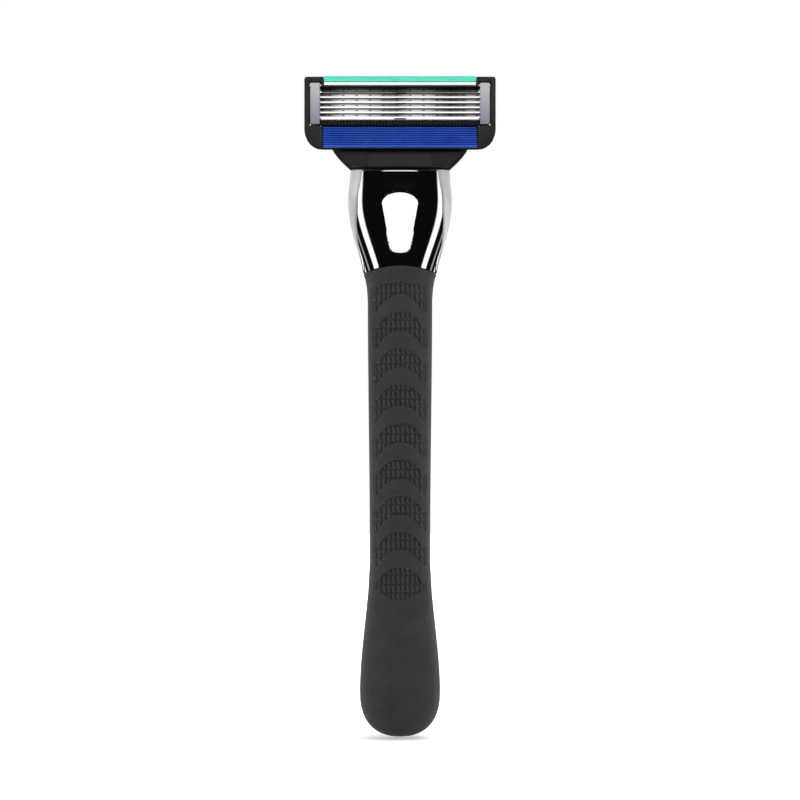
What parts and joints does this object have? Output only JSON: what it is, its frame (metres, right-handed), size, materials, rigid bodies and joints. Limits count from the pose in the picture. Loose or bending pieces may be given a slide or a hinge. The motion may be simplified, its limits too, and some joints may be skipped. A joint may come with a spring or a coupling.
{
  "type": "cartridge razor",
  "caption": "Wet shaving razor: chrome handle with a rubber grip, a release button and a pivoting cartridge with blades, a soft guard and a lubricating strip.",
  "frame": {"origin": "middle of the grip, on the handle's middle line, where the hand holds the razor", "axes": "+Z along the handle from butt to cartridge, +Y out of the blade side, -Y out of the thumb side, X along the blades"},
  "size_m": [0.042, 0.0187, 0.1461],
  "materials": {
    "satin_silver": "satin metal, fine grain",
    "chrome": "bright mirror plating, slightly dark",
    "black_rubber": "matte moulded soft grip",
    "black_plastic": "semi-matte moulded",
    "spring_steel": "drawn wire",
    "steel": "rolled and ground strip",
    "blue_rubber": "soft moulded fins",
    "white_plastic": "moulded, slightly milky",
    "green_strip": "dry waxy lubricating polymer"
  },
  "bodies": {
    "handle": {"handle_body": "satin_silver", "top_plate": "chrome", "thumb_ring": "chrome", "thumb_pad": "black_rubber", "neck_plate": "chrome", "rubber_grip": "black_rubber", "docking_nose": "black_plastic", "button_bezel": "black_plastic", "plunger_spring": "spring_steel", "button_spring": "spring_steel"},
    "button": {"button_cap": "black_plastic", "button_pad": "black_rubber"},
    "pusher": {"pusher": "black_plastic"},
    "plunger": {"plunger": "black_plastic"},
    "connector": {"connector": "black_plastic", "pivot_pin_left": "steel", "pivot_pin_right": "steel"},
    "cartridge": {"cartridge_frame": "black_plastic", "guard_comb": "black_plastic", "blade_1": "steel", "blade_2": "steel", "blade_3": "steel", "blade_4": "steel", "blade_5": "steel", "blade_6": "steel", "blade_support_1": "steel", "blade_support_2": "steel", "blade_support_3": "steel", "blade_support_4": "steel", "blade_support_5": "steel", "blade_support_6": "steel", "guard_bar": "steel", "clip_left": "steel", "clip_right": "steel", "guard_fins": "blue_rubber", "strip_base": "white_plastic", "lubricating_strip": "green_strip"}
  },
  "joints": [
    {"name": "cartridge_release", "type": "slide", "parent": "handle", "child": "connector", "axis": [0, 0, 1], "range_m": [0, 0.012]},
    {"name": "cartridge_pivot", "type": "hinge", "parent": "connector", "child": "cartridge", "pos_m": [0, 0.004, 0.0565], "axis": [1, 0, 0], "range_deg": [0, 40], "stiffness_Nm_per_rad": 0.01, "springref_deg": -17.19},
    {"name": "button_press", "type": "slide", "parent": "handle", "child": "button", "axis": [0, 1, 0], "range_m": [0, 0.0012], "stiffness_N_per_m": 800, "springref_m": -0.0005, "deforming": ["button_spring"]},
    {"name": "pusher_slide", "type": "slide", "parent": "handle", "child": "pusher", "axis": [0, 0, 1], "range_m": [0, 0.0012]},
    {"name": "plunger_slide", "type": "slide", "parent": "handle", "child": "plunger", "axis": [0, 0, 1], "range_m": [-0.0015, 0], "deforming": ["plunger_spring"]}
  ],
  "couplings": [
    {"joint": "pusher_slide", "follows": "button_press", "ratio": 1},
    {"joint": "plunger_slide", "follows": "cartridge_pivot", "m_per_rad": -0.002}
  ]
}
